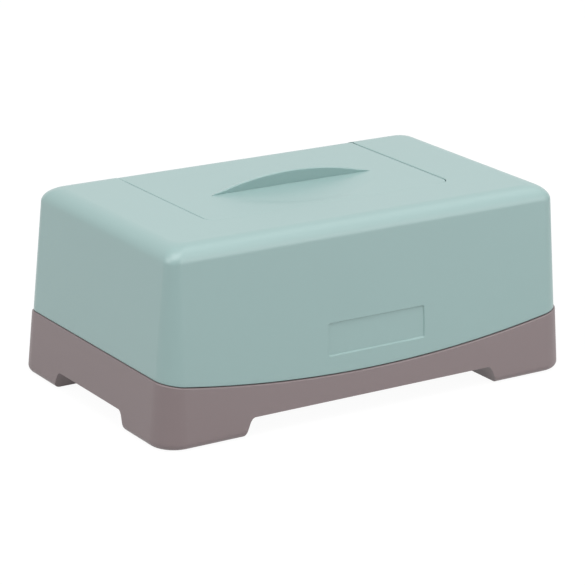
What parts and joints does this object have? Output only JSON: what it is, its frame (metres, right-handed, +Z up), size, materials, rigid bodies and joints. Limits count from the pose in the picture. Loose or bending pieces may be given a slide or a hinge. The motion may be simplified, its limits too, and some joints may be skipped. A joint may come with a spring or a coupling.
{
  "type": "countertop wipes dispenser",
  "caption": "Drafted two-tone wipes box on corner feet, with a flush rear-hinged lid, raised arched grip, lift-off hood and inner press plate.",
  "frame": {"origin": "middle of the bounding box at the plane the foot pads stand on", "axes": "+X along the length towards the right end seen from the front, +Y towards the hinge side, +Z up; the front with the shallow panel faces -Y"},
  "size_m": [0.2394, 0.1432, 0.1032],
  "materials": {
    "base_plastic": "satin taupe moulded plastic",
    "pad_rubber": "matt soft rubber",
    "hood_plastic": "satin grey-green moulded plastic",
    "liner_plastic": "satin moulded plastic, a shade lighter than the hood",
    "seal_silicone": "matt silicone",
    "pin_steel": "drawn wire",
    "plate_plastic": "satin white moulded plastic",
    "weight_steel": "brushed"
  },
  "bodies": {
    "base": {"base_tray": "base_plastic", "foot_pad_fl": "pad_rubber", "foot_pad_fr": "pad_rubber", "foot_pad_rl": "pad_rubber", "foot_pad_rr": "pad_rubber"},
    "cover": {"body_cover": "hood_plastic", "hinge_pin_left": "pin_steel", "hinge_pin_right": "pin_steel"},
    "lid": {"lid_shell": "hood_plastic", "lid_liner": "liner_plastic", "lid_seal": "seal_silicone"},
    "plate": {"press_plate": "plate_plastic", "plate_weight_left": "weight_steel", "plate_weight_right": "weight_steel"}
  },
  "joints": [
    {"name": "cover_lift", "type": "slide", "parent": "base", "child": "cover", "axis": [0, 0, 1], "range_m": [0, 0.12]},
    {"name": "lid_hinge", "type": "hinge", "parent": "cover", "child": "lid", "pos_m": [0, 0.0575, 0.0875], "axis": [-1, 0, 0], "range_deg": [0, 95]},
    {"name": "plate_lift", "type": "slide", "parent": "base", "child": "plate", "axis": [0, 0, 1], "range_m": [0, 0.045]}
  ]
}
